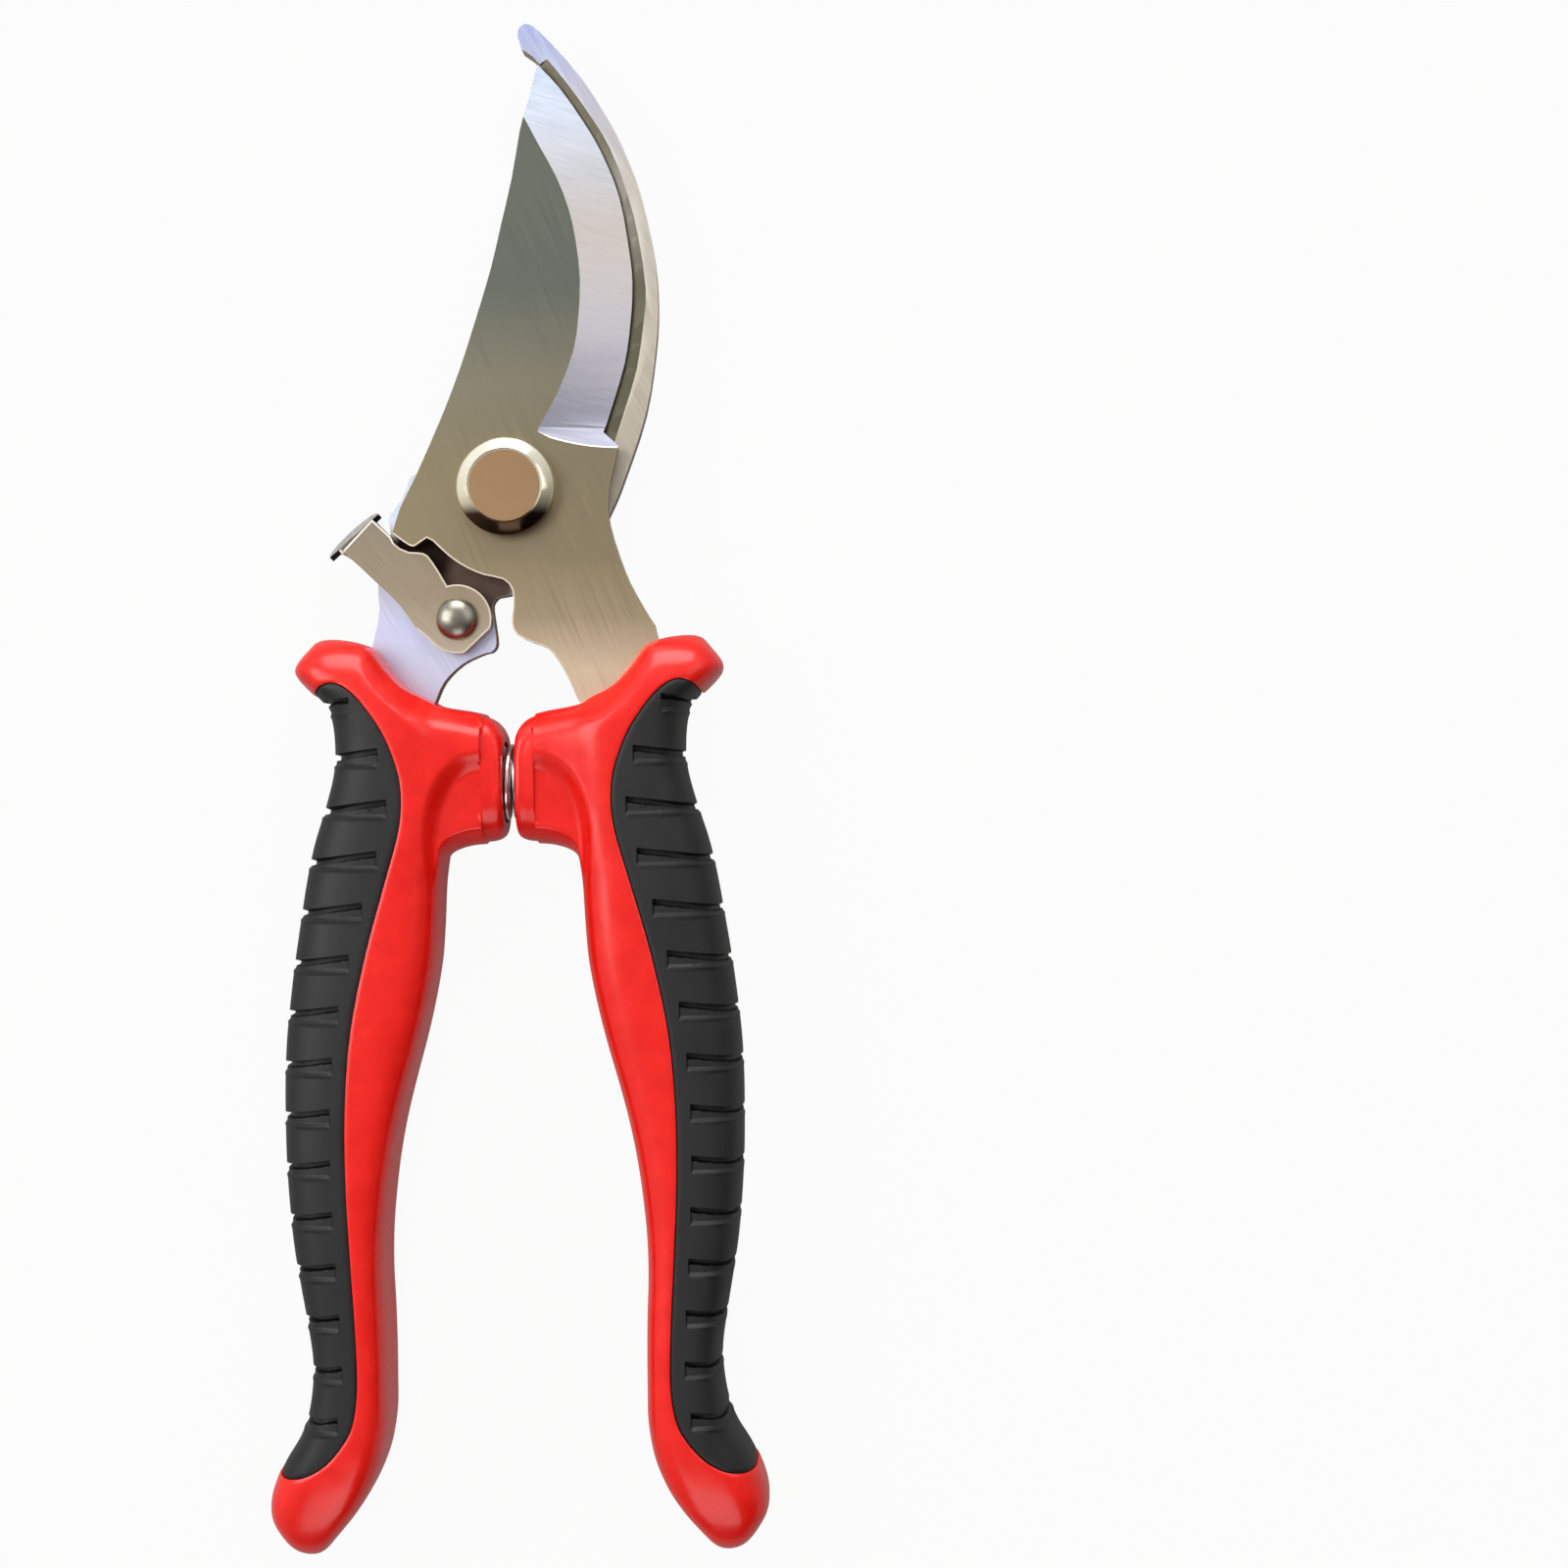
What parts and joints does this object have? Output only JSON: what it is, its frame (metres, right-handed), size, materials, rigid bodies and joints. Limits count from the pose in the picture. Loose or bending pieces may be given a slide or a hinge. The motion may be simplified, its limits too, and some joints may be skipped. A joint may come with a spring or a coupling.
{
  "type": "pruning shears",
  "caption": "Hand-held bypass pruning shears with curved blades, a lock lever, a return spring and soft-grip handles.",
  "frame": {"origin": "centre of the pivot bolt's end face, on the plane that the shears rest on", "axes": "+Y to the blade tips, +Z along the pivot axis to the bolt's head, +X to the handle that moves with the cutting blade"},
  "size_m": [0.0648, 0.1999, 0.0176],
  "materials": {
    "blade_steel": "brushed, bright ground bevel",
    "hook_steel": "brushed",
    "bolt_steel": "polished rim, brushed flat",
    "zinc_steel": "zinc plated",
    "lever_steel": "brushed",
    "rivet_steel": "satin dome",
    "spring_steel": "bright wire",
    "red_plastic": "gloss",
    "black_rubber": "matte"
  },
  "bodies": {
    "hook_side": {"hook_blade": "hook_steel", "hook_handle": "red_plastic", "hook_grip": "black_rubber", "pivot_bolt": "bolt_steel", "pivot_washer": "zinc_steel", "pivot_nut": "zinc_steel", "lever_rivet": "rivet_steel", "lever_washer": "zinc_steel", "return_spring": "spring_steel"},
    "blade_side": {"cutting_blade": "blade_steel", "blade_handle": "red_plastic", "blade_grip": "black_rubber"},
    "lock_lever": {"lock_lever": "lever_steel"}
  },
  "joints": [
    {"name": "blade_pivot", "type": "hinge", "parent": "hook_side", "child": "blade_side", "pos_m": [0, 0, 0.0088], "axis": [0, 0, 1], "range_deg": [0, 27], "deforming": ["return_spring"]},
    {"name": "lever_pivot", "type": "hinge", "parent": "hook_side", "child": "lock_lever", "pos_m": [-0.0068, -0.0169, 0.0101], "axis": [0, 0, 1], "range_deg": [0, 30]}
  ],
  "couplings": [
    {"joint": "lever_pivot", "follows": "blade_pivot", "ratio": 1.1}
  ]
}
